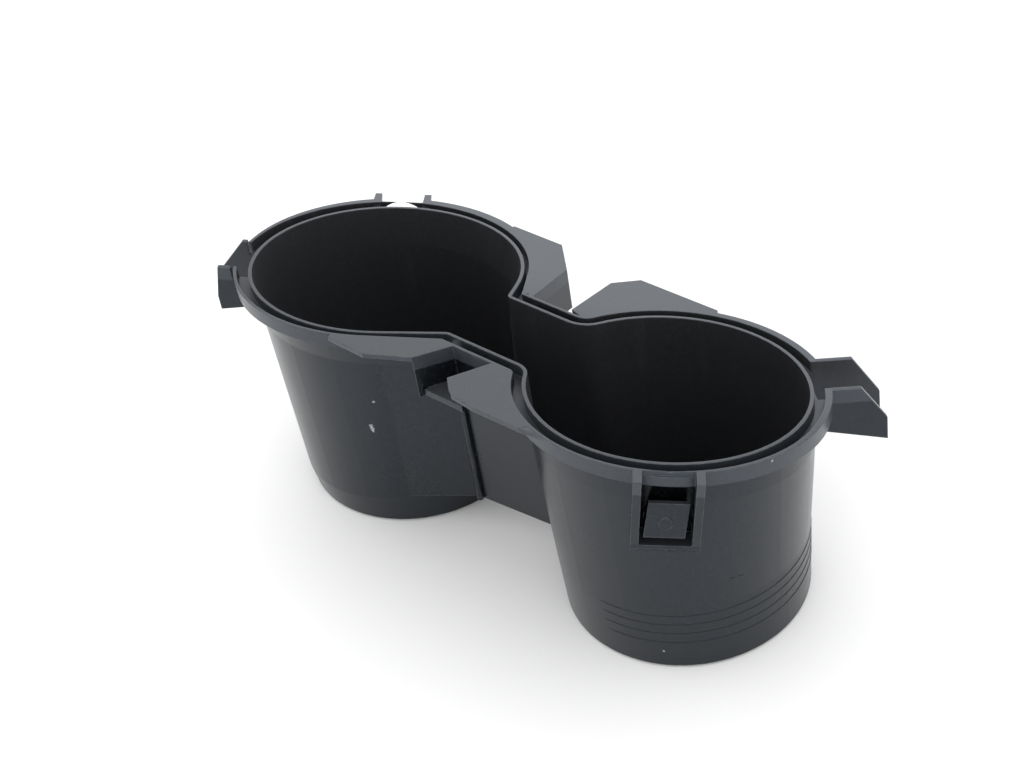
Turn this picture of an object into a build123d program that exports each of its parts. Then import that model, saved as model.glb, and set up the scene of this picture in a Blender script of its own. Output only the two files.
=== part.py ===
"""Twin cup holder insert for a car console: one injection moulding in black plastic.

Two tapered cups stand side by side and are joined by an open neck. Their mouths lie on one
rim plane that falls toward the back. A gutter runs round the rim, and the skirted band outside
it carries two snap pockets, two finned channels and four neck tabs.

X runs from the left cup to the right cup, Y to the back and Z up. The part is drawn about the
point midway between the cups on the standing face, then moved so that the origin is under the
middle of its bounds. Sizes are millimetres and angles are degrees.
"""
import os
from collections import namedtuple
from math import acos, asin, atan2, cos, degrees, hypot, radians, sin, sqrt, tan

from build123d import *

os.makedirs("parts", exist_ok=True)

FinShape = namedtuple("FinShape", "flat reach shoulder bottom foot")
Cup = namedtuple("Cup", "x rim mouth_x mouth shoulder neck base")

# Cups
cup_spacing = 112.5
left_mouth_radius = 42.2
left_mouth_shift = 1.6
right_mouth_radius = 40.0
left_shoulder_radius = 39.9
right_shoulder_radius = 39.9
left_base_radius = 37.0
right_base_radius = 37.4
wall = 1.1
cup_floor = 2.2
base_chamfer = 1.0
arc_parts = 13

# Rim plane
rim_height = 76.4
rim_tilt = 11.8
shoulder_depth = 14.0

# Neck between the cups; its left corners stand out from the left mouth's circle
neck_front = 18.4
neck_back = 9.8
neck_front_stand = 5.6
neck_back_stand = 0.8
neck_height = 17.2
neck_floor = 1.8
neck_slope = 6.0
neck_draft = 1.0
front_left_corner_radius = 3.0
front_right_corner_radius = 7.0
back_left_corner_radius = 2.0
back_right_corner_radius = 9.0

# Gutter and the band outside it; on the left they follow a circle about the cup's axis
left_rim_inset = 0.5
gutter_width = 3.1
gutter_depth = 4.0
gutter_floor = 1.0
gutter_lip = 1.0
neck_gutter_depth = 10.0
neck_gutter_length = 23.0
left_band_reach = 5.7
left_band_shift = 1.6
right_band_reach = 5.7
right_band_shift = 0.8

# Snap pockets
right_pocket_bearing = -51.9
left_pocket_bearing = 127.0
pocket_gap = 14.4
pocket_rib = 2.3
pocket_rib_reach = 10.5
pocket_depth = 24.5
right_pocket_lip = 1.5
left_pocket_lip = 4.0
pocket_sill = 1.2
pocket_sill_reach = 3.5
pocket_sill_foot = 3.0
pocket_bury = 5.0
tongue_width = 11.2
tongue_thickness = 1.6
tongue_reach = 4.8
tongue_top = 10.0
tongue_bottom = 20.6
tongue_lean = 0.6
tongue_skew = 1.0

# Finned channels
right_channel_bearing = 48.6
left_channel_bearing = -148.0
right_channel_gap = 15.0
left_channel_gap = 17.0
channel_length = 16.0
channel_depth = 15.5
fin_thickness = 1.4
fin_setback = 0.6
fin_bury = 0.4
right_near_fin = FinShape(8.7, 15.9, 12.3, 20.4, 12.5)
right_far_fin = FinShape(10.4, 18.2, 13.8, 20.4, 12.5)
left_near_fin = FinShape(4.0, 6.4, 11.2, 16.4, 15.5)
left_far_fin = FinShape(1.6, 11.6, 11.2, 16.4, 15.5)

# Neck tabs: bearing from their cup and reach beyond its rim circle
front_left_tab = ((-23.8, 15.1), (-37.6, 18.4), (-51.5, 15.1), (-64.8, 7.0))
back_left_tab = ((18.1, 10.0), (38.0, 16.2), (55.2, 16.6), (75.0, 8.0))
front_right_tab = (
    (-153.1, 10.8),
    (-142.3, 22.4),
    (-137.3, 21.8),
    (-133.4, 21.1),
    (-126.2, 16.3),
    (-109.8, 8.0),
)
back_right_tab = ((161.3, 11.7), (143.4, 23.5), (134.8, 24.2), (109.1, 8.0))
tab_thickness = 1.5
tab_wall = 1.8
tab_wall_depth = 15.0
tab_wall_root = 0.15
tab_root = -4.0

# Ledge between the front tabs
ledge_depth = 12.0
ledge_thickness = 2.0
ledge_reach = 16.8
ledge_left = -7.5
ledge_right = 7.3

tilt = radians(rim_tilt)
slope = radians(neck_slope)
gutter_reach = wall + gutter_width
trough_reach = gutter_reach + gutter_lip
trough_depth = gutter_depth + gutter_floor
straight_down = (0, 0, -1)


def below_rim(depth):
    """The plane parallel to the rim at a depth under it, with its origin over the part's middle."""
    return Plane(
        origin=(0, 0, rim_height - depth / cos(tilt)),
        x_dir=(1, 0, 0),
        z_dir=(0, sin(tilt), cos(tilt)),
    )


def below_neck(depth):
    """The plane parallel to the neck's floor at a depth under it, its origin over the middle."""
    return Plane(
        origin=(0, 0, neck_height - depth / cos(slope)),
        x_dir=(cos(slope), 0, sin(slope)),
        z_dir=(-sin(slope), 0, cos(slope)),
    )


def neck_radius(shoulder_radius, base_radius):
    """Inner radius of a cup at the neck's floor, on its straight lower wall."""
    foot_radius = base_radius - wall
    shoulder_height = rim_height - shoulder_depth / cos(tilt)
    return foot_radius + (shoulder_radius - foot_radius) * neck_height / shoulder_height


left_cup = Cup(
    -cup_spacing / 2,
    left_mouth_radius - left_rim_inset,
    left_mouth_shift - cup_spacing / 2,
    left_mouth_radius,
    left_shoulder_radius,
    neck_radius(left_shoulder_radius, left_base_radius),
    left_base_radius,
)
right_cup = Cup(
    cup_spacing / 2,
    right_mouth_radius,
    cup_spacing / 2,
    right_mouth_radius,
    right_shoulder_radius,
    neck_radius(right_shoulder_radius, right_base_radius),
    right_base_radius,
)
cups = (left_cup, right_cup)
front_corner_x = left_cup.mouth_x + sqrt(left_cup.mouth**2 - neck_front**2) + neck_front_stand
back_corner_x = left_cup.mouth_x + sqrt(left_cup.mouth**2 - neck_back**2) + neck_back_stand


def on_circle(centre_x, radius, bearing):
    """The point of a cup's circle at a bearing."""
    return (centre_x + radius * cos(radians(bearing)), radius * sin(radians(bearing)))


def tangent_bearings(centre_x, radius):
    """Bearings at which lines from the neck's back and front corners touch a left circle."""
    bearings = []
    for corner_x, corner_y in ((back_corner_x, neck_back), (front_corner_x, neck_front)):
        away_x = corner_x - centre_x
        turn = atan2(corner_y, away_x) + acos(radius / hypot(away_x, corner_y))
        bearings.append(degrees(turn))
    return bearings[0], 360 - bearings[1]


def draw_mouth(left_x, left_radius, right_radius, left_bearings, drop=0, stretch=1):
    """Outline of both cups and the neck at a drop under the rim, stretched along X.

    Each cup's circle is drawn in equal parts, so that the lofted walls become even strips.
    """
    inset = drop * tan(radians(neck_draft))
    left_start, left_end = left_bearings
    right_x = right_cup.x * stretch
    front_corner = (front_corner_x * stretch, inset - neck_front)
    back_corner = (back_corner_x * stretch, neck_back - inset)
    right_start = degrees(asin(-front_corner[1] / right_radius)) - 180
    right_end = 180 - degrees(asin(back_corner[1] / right_radius))
    right_front = on_circle(right_x, right_radius, right_start)
    right_back = on_circle(right_x, right_radius, right_end)
    outline = [
        Line(on_circle(left_x, left_radius, left_end), front_corner),
        Line(front_corner, right_front),
        Line(right_back, back_corner),
        Line(back_corner, on_circle(left_x, left_radius, left_start)),
    ]
    for centre_x, radius, first, last in (
        (left_x, left_radius, left_start, left_end),
        (right_x, right_radius, right_start, right_end),
    ):
        step = (last - first) / arc_parts
        for part in range(arc_parts):
            outline.append(CenterArc((centre_x, 0), radius, first + part * step, step))
    mouth = make_face(outline)
    for corner, radius in (
        (front_corner, front_left_corner_radius),
        (right_front, front_right_corner_radius),
        (back_corner, back_left_corner_radius),
        (right_back, back_right_corner_radius),
    ):
        mouth = fillet(mouth.vertices().sort_by_distance(corner)[0], radius=radius)
    return mouth


def rim_point(cup, bearing, reach):
    """A point of a rim sketch, at a bearing from a cup and a reach beyond its rim circle."""
    return on_circle(cup.x, cup.rim + reach, bearing)


def tab_outline(cup, corners):
    """Corners of a tab, closed by a root inside the mouth that the hollow later clears."""
    root = [rim_point(cup, corners[end][0], tab_root) for end in (-1, 0)]
    return [rim_point(cup, bearing, reach) for bearing, reach in corners] + root


def tab_side(cup, corners):
    """Corners of the wall under a tab's first edge, run on past that edge into the gutter."""
    outline = []
    for inset in (0, tab_wall):
        near, far = [Vector(*rim_point(cup, bearing, reach - inset)) for bearing, reach in corners[:2]]
        outline.append((near + (near - far) * tab_wall_root, far))
    return [*outline[0], *reversed(outline[1])]


def wall_edge(cup, bearing):
    """Distance of the mouth wall's outside from a cup's axis at a bearing."""
    turn = radians(bearing)
    shift = cup.mouth_x - cup.x
    return shift * cos(turn) + sqrt(cup.mouth**2 - (shift * sin(turn)) ** 2) + wall


def spoke_plane(cup, bearing, aside):
    """The upright plane along a bearing from a cup's axis, moved aside; its local Y is height."""
    turn = radians(bearing)
    return Plane(
        origin=(cup.x - aside * sin(turn), aside * cos(turn), 0),
        x_dir=(cos(turn), sin(turn), 0),
        z_dir=(sin(turn), -cos(turn), 0),
    )


def rim_on_spoke(bearing, aside, distance):
    """Height of the rim over a point of a spoke plane."""
    turn = radians(bearing)
    return rim_height - tan(tilt) * (aside * cos(turn) + distance * sin(turn))


mouth_bearings = tangent_bearings(left_cup.mouth_x, left_cup.mouth)
rim_bearings = tangent_bearings(left_cup.x, left_cup.rim)
rim_mouth = draw_mouth(left_cup.mouth_x, left_cup.mouth, right_cup.mouth, mouth_bearings)
gutter_mouth = draw_mouth(left_cup.x, left_cup.rim, right_cup.rim, rim_bearings)
shoulder_mouth = draw_mouth(
    left_cup.x,
    left_cup.shoulder,
    right_cup.shoulder,
    mouth_bearings,
    shoulder_depth,
)
neck_mouth = draw_mouth(
    left_cup.x / cos(slope),
    left_cup.neck,
    right_cup.neck,
    mouth_bearings,
    rim_height - neck_height,
    1 / cos(slope),
)
inside_sections = [
    below_rim(0) * rim_mouth,
    below_rim(shoulder_depth) * shoulder_mouth,
    below_neck(0) * neck_mouth,
]
outside_sections = [
    below_rim(0) * offset(rim_mouth, amount=wall),
    below_rim(shoulder_depth) * offset(shoulder_mouth, amount=wall),
    below_neck(neck_floor) * offset(neck_mouth, amount=wall),
]

with BuildPart() as hollow:
    # Inside of both cups and the neck
    loft(inside_sections, ruled=True)
    for cup in cups:
        with BuildSketch(below_neck(0)):
            with Locations((cup.x / cos(slope), 0)):
                Circle(cup.neck)
        with BuildSketch(Plane.XY.offset(cup_floor)):
            with Locations((cup.x, 0)):
                Circle(cup.base - wall)
        loft()

with BuildPart() as tabs:
    # Tabs beside the neck; the left ones have a wall under their first edge
    for cup, corners in (
        (left_cup, front_left_tab),
        (left_cup, back_left_tab),
        (right_cup, front_right_tab),
        (right_cup, back_right_tab),
    ):
        with BuildSketch(below_rim(0)):
            Polygon(*tab_outline(cup, corners), align=None)
        extrude(amount=tab_thickness, dir=straight_down)
        if cup == left_cup:
            with BuildSketch(below_rim(0)):
                Polygon(*tab_side(cup, corners), align=None)
            extrude(amount=tab_wall_depth, dir=straight_down)

    # Ledge under the front pair
    with BuildSketch(below_rim(ledge_depth)):
        with Locations((ledge_left, -neck_front - ledge_reach)):
            Rectangle(ledge_right - ledge_left, ledge_reach, align=(Align.MIN, Align.MIN))
    extrude(amount=ledge_thickness, dir=straight_down)

with BuildPart() as cup_holder:
    # Bands round the mouths, a little wider at the back
    for cup, reach, shift in (
        (left_cup, left_band_reach, left_band_shift),
        (right_cup, right_band_reach, right_band_shift),
    ):
        with BuildSketch(below_rim(0)):
            with Locations((cup.x, shift)):
                Circle(cup.rim + reach)
        extrude(amount=trough_depth, dir=straight_down)

    # Outside of both cups and the neck
    loft(outside_sections, ruled=True)
    for cup in cups:
        with BuildSketch(below_neck(neck_floor)):
            with Locations((cup.x / cos(slope), 0)):
                Circle(cup.neck + wall)
        for height, radius in ((base_chamfer, cup.base), (0, cup.base - base_chamfer)):
            with BuildSketch(Plane.XY.offset(height)):
                with Locations((cup.x, 0)):
                    Circle(radius)
        loft(ruled=True)

    # Trough of the gutter, deeper along the neck, then the tabs and the gutter itself
    for inner, outer, floor, mode in (
        (0, trough_reach, gutter_floor, Mode.ADD),
        (wall, gutter_reach, 0, Mode.SUBTRACT),
    ):
        if mode == Mode.SUBTRACT:
            add(tabs.part)
        with BuildSketch(below_rim(0)):
            offset(gutter_mouth, amount=outer, mode=Mode.ADD)
            offset(rim_mouth, amount=inner, mode=Mode.SUBTRACT)
        extrude(amount=gutter_depth + floor, dir=straight_down, mode=mode)
        with BuildSketch(below_rim(0)):
            offset(gutter_mouth, amount=outer, mode=Mode.ADD)
            offset(rim_mouth, amount=inner, mode=Mode.SUBTRACT)
            with Locations((front_corner_x, 0)):
                Rectangle(
                    neck_gutter_length,
                    cup_spacing,
                    align=(Align.MIN, Align.CENTER),
                    mode=Mode.INTERSECT,
                )
        extrude(amount=neck_gutter_depth + floor, dir=straight_down, mode=mode)

    # Snap pockets, square to the rim: the band is opened between two ribs over a ramped tongue
    for cup, bearing, lip in (
        (left_cup, left_pocket_bearing, left_pocket_lip),
        (right_cup, right_pocket_bearing, right_pocket_lip),
    ):
        spoke = Location((cup.x, 0, 0), (0, 0, bearing))
        root = cup.shoulder - pocket_bury
        gutter_edge = cup.rim + gutter_reach
        rib_edge = cup.rim + pocket_rib_reach
        sill_edge = cup.rim + pocket_sill_reach
        tongue_edge = cup.rim + tongue_reach
        for depth, bottom, start in (
            (0, lip, gutter_edge),
            (lip, 2 * trough_depth, gutter_edge + gutter_lip),
        ):
            with BuildSketch(below_rim(0).offset(-depth)):
                with Locations(spoke):
                    with Locations((start, 0)):
                        Rectangle(rib_edge - start, pocket_gap, align=(Align.MIN, Align.CENTER))
            extrude(amount=depth - bottom, mode=Mode.SUBTRACT)
        for side in (-1, 1):
            near = side * pocket_gap / 2
            far = near + side * pocket_rib
            for depth, start, end in (
                (0, gutter_edge, rib_edge),
                (pocket_depth, root, sill_edge),
            ):
                with BuildSketch(below_rim(0).offset(-depth)):
                    with Locations(spoke):
                        Polygon((start, near), (end, near), (end, far), (start, far), align=None)
            loft(ruled=True)
        for depth, start, end, shift in (
            (tongue_top, tongue_edge - tongue_thickness, tongue_edge, tongue_skew / 2),
            (tongue_bottom, root, tongue_edge + tongue_lean, -tongue_skew / 2),
        ):
            with BuildSketch(below_rim(0).offset(-depth)):
                with Locations(spoke):
                    with Locations((end, shift)):
                        Rectangle(end - start, tongue_width, align=(Align.MAX, Align.CENTER))
        loft(ruled=True)
        for depth, end in (
            (pocket_depth, sill_edge),
            (pocket_depth + pocket_sill, sill_edge),
            (pocket_depth + pocket_sill + pocket_sill_foot, cup.rim),
        ):
            with BuildSketch(below_rim(0).offset(-depth)):
                with Locations(spoke):
                    with Locations((end, 0)):
                        Rectangle(
                            end - root,
                            pocket_gap + 2 * pocket_rib,
                            align=(Align.MAX, Align.CENTER),
                        )
        loft(ruled=True)

    # Channels: the rim is cut through between two upright fins
    for cup, bearing, gap, fins in (
        (left_cup, left_channel_bearing, left_channel_gap, (left_far_fin, left_near_fin)),
        (right_cup, right_channel_bearing, right_channel_gap, (right_near_fin, right_far_fin)),
    ):
        fin_start = cup.rim + gutter_reach + fin_setback
        cut_start = wall_edge(cup, bearing)
        root = cup.shoulder + wall / 2
        with BuildSketch(spoke_plane(cup, bearing, 0)):
            with Locations((cut_start, rim_on_spoke(bearing, 0, cut_start))):
                Rectangle(channel_length, 2 * channel_depth, align=(Align.MIN, Align.CENTER))
        extrude(amount=gap / 2, both=True, mode=Mode.SUBTRACT)
        for side, fin in zip((-1, 1), fins):
            aside = side * (gap + fin_thickness) / 2
            top = rim_on_spoke(bearing, aside, fin_start + fin.flat)
            root_top = rim_on_spoke(bearing, aside, root) - trough_depth + fin_bury
            with BuildSketch(spoke_plane(cup, bearing, aside)):
                Polygon(
                    (fin_start, rim_on_spoke(bearing, aside, fin_start)),
                    (fin_start + fin.flat, top),
                    (fin_start + fin.reach, top - fin.shoulder),
                    (fin_start + fin.reach, top - fin.bottom),
                    (root, top - fin.foot),
                    (root, root_top),
                    (fin_start, root_top),
                    align=None,
                )
            extrude(amount=fin_thickness / 2, both=True)
    add(hollow.part, mode=Mode.SUBTRACT)

middle = cup_holder.part.bounding_box().center()
cup_holder_body = Pos(-middle.X, -middle.Y, 0) * cup_holder.part
cup_holder_body.label = "cup_holder"
export_step(cup_holder_body, "parts/cup_holder.step")
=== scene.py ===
from math import cos, pi, radians, sin

import bmesh
import bpy
from mathutils import Matrix, Vector


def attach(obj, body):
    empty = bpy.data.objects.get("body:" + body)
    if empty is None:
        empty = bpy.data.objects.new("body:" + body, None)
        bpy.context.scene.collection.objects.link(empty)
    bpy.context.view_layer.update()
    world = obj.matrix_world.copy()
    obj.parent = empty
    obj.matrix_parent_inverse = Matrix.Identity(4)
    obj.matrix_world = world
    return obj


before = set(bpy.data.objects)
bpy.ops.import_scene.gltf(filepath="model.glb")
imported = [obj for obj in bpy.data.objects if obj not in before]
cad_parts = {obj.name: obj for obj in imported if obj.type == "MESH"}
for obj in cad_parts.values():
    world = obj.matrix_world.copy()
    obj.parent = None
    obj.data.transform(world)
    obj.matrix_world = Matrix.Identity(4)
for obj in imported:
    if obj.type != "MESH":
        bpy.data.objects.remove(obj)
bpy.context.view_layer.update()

# Cup holder: one injection moulding in black polypropylene with a fine, even grain.
# Its corners are rubbed paler and carry a painted highlight, what faces up has dust and painted
# light from above, the band under the rim has a painted reflection, the cups' insides are painted
# lighter, and the cups are streaked inside.
# Scuffs and nicks from use are set where they are on the object.
left_axis = Vector((-0.05240, -0.00362, 0))
right_axis = Vector((0.06010, -0.00362, 0))
plastic_colour = (0.0028, 0.0036, 0.0050, 1)
inside_light_colour = (0.0195, 0.0197, 0.0212, 1)
rubbed_and_highlight_colour = (0.150, 0.160, 0.175, 1)
dust_and_light_colour = (0.100, 0.112, 0.130, 1)
scuff_colour = (0.72, 0.74, 0.78, 1)
sheen_colour = (0.80, 0.89, 1.0, 1)
rim_height = 0.0764
rim_slope = 0.2087
band_bottom = 0.0052
band_full = 0.0044
edge_softness = 0.0005
grain_scale = 2600.0
pore_scale = 900.0
haze_scale = 60.0
streak_scale = 210.0
streak_stretch = (1.0, 1.0, 0.06)
rubbing_scale = 520.0
wear_and_highlight_share = 0.55
mottle_share = 0.07
band_light_share = 0.27
scuff_share = 0.3
scuff_raggedness = 0.0016
# Each scuff is a point on the wall and a radius
light_scuffs = (
    ((-0.0303, -0.0367, 0.0534), 0.0005),
    ((-0.0330, -0.0377, 0.0432), 0.0008),
    ((-0.0329, -0.0378, 0.0421), 0.0009),
    ((-0.0327, -0.0378, 0.0411), 0.0006),
    ((0.0772, -0.0372, 0.0072), 0.0004),
    ((0.1040, -0.0152, 0.0779), 0.0005),
)


class Signal:
    """A socket of a node tree that takes part in Python arithmetic."""

    def __init__(self, tree, socket=None):
        self.tree = tree
        self.socket = socket

    def node(self, kind, output, settings, values):
        """Adds a node: its settings first, then its sockets' values or links; gives one output."""
        made = self.tree.nodes.new("ShaderNode" + kind)
        for name, value in settings.items():
            setattr(made, name, value)
        for name, value in values.items():
            if isinstance(value, Signal):
                self.tree.links.new(value.socket, made.inputs[name])
            else:
                made.inputs[name].default_value = value
        return Signal(self.tree, made.outputs[output])

    def math(self, operation, first, second):
        return self.node("Math", 0, {"operation": operation}, {0: first, 1: second})

    def __add__(self, other):
        return self.math("ADD", self, other)

    def __radd__(self, other):
        return self.math("ADD", other, self)

    def __sub__(self, other):
        return self.math("SUBTRACT", self, other)

    def __rsub__(self, other):
        return self.math("SUBTRACT", other, self)

    def __mul__(self, other):
        return self.math("MULTIPLY", self, other)

    def __rmul__(self, other):
        return self.math("MULTIPLY", other, self)

    def step(self, low, high):
        """0 at low and 1 at high, smooth between, whichever of them is the larger."""
        return self.node(
            "MapRange",
            0,
            {"interpolation_type": "SMOOTHSTEP"},
            {"Value": self, "From Min": low, "From Max": high},
        )

    def noise(self, scale, detail, roughness=0.5):
        """Noise over this position."""
        return self.node(
            "TexNoise",
            0,
            {},
            {"Vector": self, "Scale": scale, "Detail": detail, "Roughness": roughness},
        )

    def vector(self, operation, output, second):
        return self.node("VectorMath", output, {"operation": operation}, {0: self, 1: second})

    def axis(self, name):
        return self.node("SeparateXYZ", name, {}, {0: self})

    def mix(self, first, second):
        """The first colour where this is 0 and the second where it is 1."""
        return self.node("Mix", 2, {"data_type": "RGBA"}, {"Factor": self, 6: first, 7: second})


black_plastic = bpy.data.materials.new("black_plastic")
black_plastic.use_nodes = True
tree = black_plastic.node_tree
shader = tree.nodes["Principled BSDF"]
start = Signal(tree)
place = start.node("TexCoord", "Object", {}, {})
normal = start.node("NewGeometry", "Normal", {}, {})
rounded = start.node("Bevel", 0, {"samples": 6}, {"Radius": edge_softness})
edge = (1 - rounded.vector("DOT_PRODUCT", "Value", normal)).step(0.01, 0.22)
facing_up = normal.axis("Z").step(0.55, 0.95)
along = place.axis("X")
spine = start.math("MINIMUM", start.math("MAXIMUM", along, left_axis.x), right_axis.x)
aside = place.axis("Y") - left_axis.y
facing_out = (along - spine) * normal.axis("X") + aside * normal.axis("Y")
lining = facing_out.step(0.0, -0.006)
below_rim = rim_height - aside * rim_slope - place.axis("Z")
# Painted reflection: the outward face of the band under the rim is lightened.
band = below_rim.step(band_bottom, band_full) * facing_out.step(0.0, 0.006)

grain = place.noise(grain_scale, 1.0)
pores = place.noise(pore_scale, 3.0, 0.6)
haze = place.noise(haze_scale, 4.0, 0.6)
streaks = place.vector("MULTIPLY", "Vector", streak_stretch).noise(streak_scale, 3.0, 0.6)
rubbing = place.noise(rubbing_scale, 3.0, 0.65)

# Edges painted paler: rubbed wear, and a painted highlight along them.
wear_and_highlight = edge * rubbing.step(0.30, 0.60) * wear_and_highlight_share
mottle = pores.step(0.42, 0.75) * mottle_share
streaked = streaks.step(0.56, 0.76) * (0.01 + lining * 0.06)
# Painted light from above, with dust: what faces up is lightened by a hazy film.
dust_and_top_light = facing_up * (0.09 + haze * 0.16)
# The film holds dust, streaks and mottle, and also the painted top light and the band's painted
# reflection.
dust_and_painted_light = dust_and_top_light + band * band_light_share + streaked + mottle
ragged = (pores - 0.5) * scuff_raggedness
scuffs = []
for centre, radius in light_scuffs:
    reach = place.vector("DISTANCE", "Value", centre) + ragged
    scuffs.append(reach.step(radius, radius * 0.6))
scuffed = sum(scuffs[1:], scuffs[0])

# Painted light: the inward-facing walls of the cups are painted lighter than the outside.
base_and_inside_light = lining.mix(plastic_colour, inside_light_colour)
dusty_and_lit = dust_and_painted_light.mix(base_and_inside_light, dust_and_light_colour)
worn_and_highlit = wear_and_highlight.mix(dusty_and_lit, rubbed_and_highlight_colour)
colour = (scuffed * scuff_share).mix(worn_and_highlit, scuff_colour)
roughness = 0.20 + haze * 0.10 + dust_and_painted_light * 0.20 + lining * 0.18
tree.links.new(colour.socket, shader.inputs["Base Color"])
tree.links.new(roughness.socket, shader.inputs["Roughness"])
shader.inputs["IOR"].default_value = 1.47
shader.inputs["Specular Tint"].default_value = sheen_colour
surface = start.node(
    "Bump",
    0,
    {},
    {"Strength": 0.35, "Distance": 0.0001, "Height": grain + pores * 0.6, "Normal": rounded},
)
tree.links.new(surface.socket, shader.inputs["Normal"])

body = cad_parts["cup_holder"]
body.data.materials.clear()
body.data.materials.append(black_plastic)

# Rings: four fine beads round the foot of the right cup, from below its pocket to the far side.
# They follow the cup's wall, stand a hair proud of it and, like the scores, carry a dull,
# low-reflecting material: painted shade for the dark lines they show.
# Two short scores above them have the same section; each has a height and two bearings.
ring_spans = (
    (0.0224, -92.0, 70.0),
    (0.0187, -91.5, 70.0),
    (0.0149, -90.5, 70.0),
    (0.0110, -89.5, 70.0),
    (0.0346, -31.6, -29.2),
    (0.0343, -27.6, -25.2),
)
ring_steps = 108
ring_taper = 0.025
ring_search_radius = 0.06
ring_shade_colour = (0.014, 0.016, 0.019, 1)
ring_profile = ((0.00030, -0.0002), (0.00016, 0.00010), (-0.00016, 0.00010), (-0.00030, -0.0002))
ring_sides = len(ring_profile)

# Painted shade: a dull, low-reflecting plastic that darkens the rings and scores.
ring_shade_plastic = bpy.data.materials.new("ring_shade_plastic")
ring_shade_plastic.use_nodes = True
dull = ring_shade_plastic.node_tree.nodes["Principled BSDF"]
dull.inputs["Base Color"].default_value = ring_shade_colour
dull.inputs["Roughness"].default_value = 0.6
dull.inputs["Specular IOR Level"].default_value = 0.3


def add_object(name, mesh, material):
    """Turns a bmesh into an object of the scene with one material."""
    data = bpy.data.meshes.new(name)
    mesh.to_mesh(data)
    mesh.free()
    data.materials.append(material)
    made = bpy.data.objects.new(name, data)
    bpy.context.collection.objects.link(made)
    return made


rings_mesh = bmesh.new()
for ring_height, ring_start, ring_end in ring_spans:
    rows = []
    for step in range(ring_steps + 1):
        share = step / ring_steps
        turn = radians(ring_start + (ring_end - ring_start) * share)
        outward = Vector((cos(turn), sin(turn), 0))
        fade = min(1.0, min(share, 1 - share) / ring_taper)
        far = right_axis + outward * ring_search_radius + Vector((0, 0, ring_height))
        wall = body.ray_cast(far, -outward)[1]
        row = []
        for rise, swell in ring_profile:
            out = swell * fade if swell > 0 else swell
            row.append(rings_mesh.verts.new(wall + outward * out + Vector((0, 0, rise))))
        rows.append(row)
    for first, second in zip(rows, rows[1:]):
        for side in range(ring_sides):
            other = (side + 1) % ring_sides
            rings_mesh.faces.new((first[side], second[side], second[other], first[other]))
    rings_mesh.faces.new(rows[0])
    rings_mesh.faces.new(list(reversed(rows[-1])))
bmesh.ops.recalc_face_normals(rings_mesh, faces=rings_mesh.faces)
rings = add_object("rings", rings_mesh, ring_shade_plastic)
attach(rings, "root")

# Ejector mark: the round print of the moulding tool's pin on the right pocket's tongue.
# A low burr stands round a disc that lies flush with the tongue, with a nub at its middle.
mark_centre = Vector((0.08776, -0.04186, 0.06785))
mark_normal = Vector((0.616, -0.758, 0.216)).normalized()
mark_profile = (
    (0.0022, -0.0001),
    (0.0019, 0.0003),
    (0.0014, 0.00005),
    (0.0009, 0.00005),
    (0.0005, 0.0002),
    (0.0, 0.0002),
)
mark_sides = 40
mark_weld = 0.000001

mark_mesh = bmesh.new()
across = mark_normal.cross(Vector((0, 0, 1))).normalized()
profile = []
for radius, lift in mark_profile:
    profile.append(mark_mesh.verts.new(mark_centre + across * radius + mark_normal * lift))
profile_edges = [mark_mesh.edges.new(pair) for pair in zip(profile, profile[1:])]
bmesh.ops.spin(
    mark_mesh,
    geom=profile + profile_edges,
    cent=mark_centre,
    axis=mark_normal,
    angle=2 * pi,
    steps=mark_sides,
)
bmesh.ops.remove_doubles(mark_mesh, verts=mark_mesh.verts, dist=mark_weld)
bmesh.ops.recalc_face_normals(mark_mesh, faces=mark_mesh.faces)
mark = add_object("ejector_mark", mark_mesh, black_plastic)
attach(mark, "root")

# Neck bead: the rounded edge where the neck's front wall meets the left cup.
# It is moulded with both, stands on the neck's lower edge and ends behind the ledge.
bead_foot = Vector((-0.0060, -0.0216, -0.01))
bead_offset = 0.0012
bead_radius = 0.0011
bead_top = 0.060
bead_sides = 28

bead_bottom = body.ray_cast(bead_foot, Vector((0, 0, 1)))[1].z
bead_middle = (bead_top + bead_bottom) / 2
bead_mesh = bmesh.new()
bmesh.ops.create_cone(
    bead_mesh,
    cap_ends=True,
    segments=bead_sides,
    radius1=bead_radius,
    radius2=bead_radius,
    depth=bead_top - bead_bottom,
    matrix=Matrix.Translation((bead_foot.x, bead_foot.y - bead_offset, bead_middle)),
)
for face in bead_mesh.faces:
    face.smooth = len(face.verts) == 4
bead = add_object("neck_bead", bead_mesh, black_plastic)
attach(bead, "root")

# Tab web: the thin web that carries the right front tab's edge over to the rim's band.
# It is moulded with both and lies just under the rim's plane.
web_outline = (
    (0.0428, -0.0478),
    (0.0448, -0.0477),
    (0.0466, -0.0474),
    (0.0485, -0.0471),
    (0.0506, -0.0470),
    (0.0530, -0.0473),
    (0.0530, -0.0468),
    (0.0470, -0.0455),
    (0.0440, -0.0448),
)
web_thickness = 0.0015
web_middle = -0.04512
web_top = 0.08502

web_mesh = bmesh.new()
corners = []
for x, y in web_outline:
    corners.append(web_mesh.verts.new((x, y, web_top - (y - web_middle) * rim_slope)))
top = web_mesh.faces.new(corners)
drawn = bmesh.ops.extrude_face_region(web_mesh, geom=[top])["geom"]
lower = [item for item in drawn if isinstance(item, bmesh.types.BMVert)]
bmesh.ops.translate(web_mesh, verts=lower, vec=(0, 0, -web_thickness))
bmesh.ops.recalc_face_normals(web_mesh, faces=web_mesh.faces)
web = add_object("tab_web", web_mesh, black_plastic)
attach(web, "root")

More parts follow.
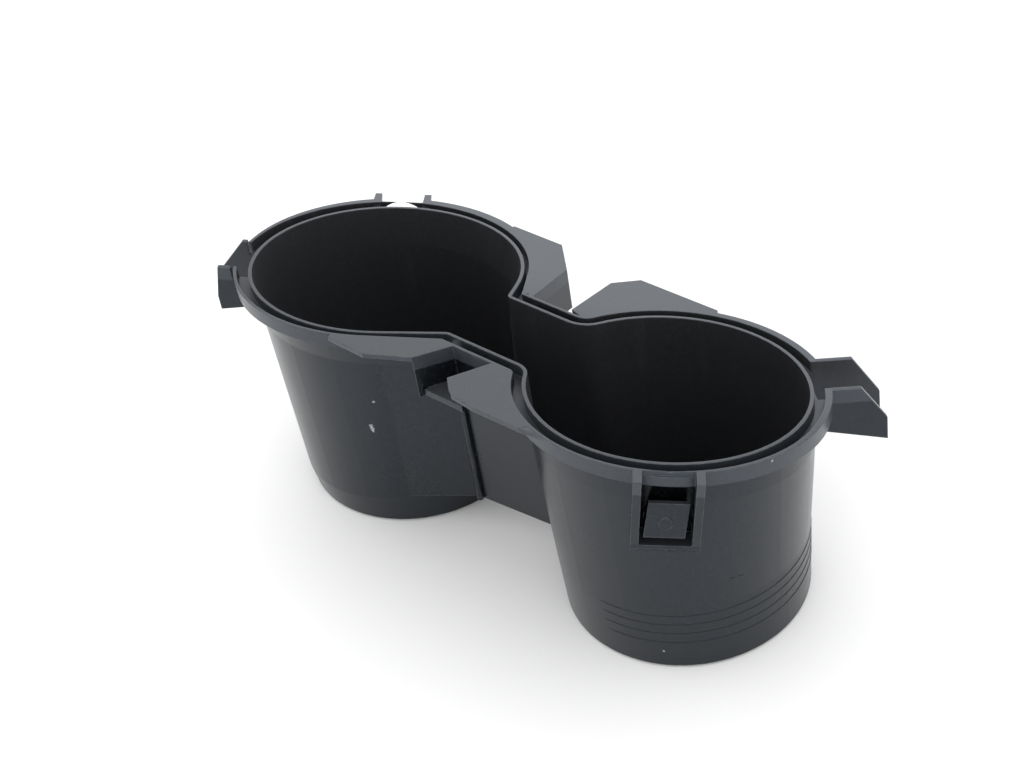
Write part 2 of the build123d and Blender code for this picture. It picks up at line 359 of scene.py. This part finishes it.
# Table: a plain matt white board, wide enough to fill the view behind the part.
# The cups stand flat on it.
table_half = 6.0
table_colour = (0.90, 0.90, 0.90, 1)

table_mesh = bmesh.new()
bmesh.ops.create_grid(table_mesh, x_segments=1, y_segments=1, size=table_half)
white_board = bpy.data.materials.new("white_board")
white_board.use_nodes = True
board = white_board.node_tree.nodes["Principled BSDF"]
board.inputs["Base Color"].default_value = table_colour
board.inputs["Roughness"].default_value = 0.7
table = add_object("table", table_mesh, white_board)

# Light: a bright white room, with one large soft panel above and behind the left cup.
# The room gives nearly all of the light, so the shadows stay soft and close to the feet.
room_strength = 1.45
panel_place = (-0.66, 0.75, 0.66)
panel_aim = Vector((0.66, -0.75, -0.62))
panel_energy = 0.4

bpy.context.scene.view_settings.view_transform = "Standard"
room = bpy.data.worlds.new("room")
bpy.context.scene.world = room
room.use_nodes = True
background = room.node_tree.nodes["Background"]
background.inputs["Color"].default_value = (1.0, 1.0, 1.0, 1)
background.inputs["Strength"].default_value = room_strength
panel = bpy.data.lights.new("panel", "AREA")
panel.shape = "DISK"
panel.size = 0.9
panel.energy = panel_energy
panel_stand = bpy.data.objects.new("panel", panel)
panel_stand.location = panel_place
panel_stand.rotation_euler = panel_aim.to_track_quat("-Z", "Y").to_euler()
bpy.context.collection.objects.link(panel_stand)

# Camera: the photograph's angle, above the right front and leaning to one side.
# Its place and angles come from a fit to the outlines of the mouths, the feet and the walls.
camera_place = (0.34085, -0.32332, 0.43060)
camera_bearing = radians(47.1)
camera_dip = radians(39.1)
camera_lean = radians(-9.9)

camera = bpy.data.cameras.new("camera")
camera.sensor_width = 36.0
camera.lens = 68.8
stand = bpy.data.objects.new("camera", camera)
stand.matrix_world = (
    Matrix.Translation(camera_place)
    @ Matrix.Rotation(camera_bearing, 4, "Z")
    @ Matrix.Rotation(pi / 2 - camera_dip, 4, "X")
    @ Matrix.Rotation(camera_lean, 4, "Z")
)
bpy.context.collection.objects.link(stand)
bpy.context.scene.camera = stand

bpy.context.view_layer.update()
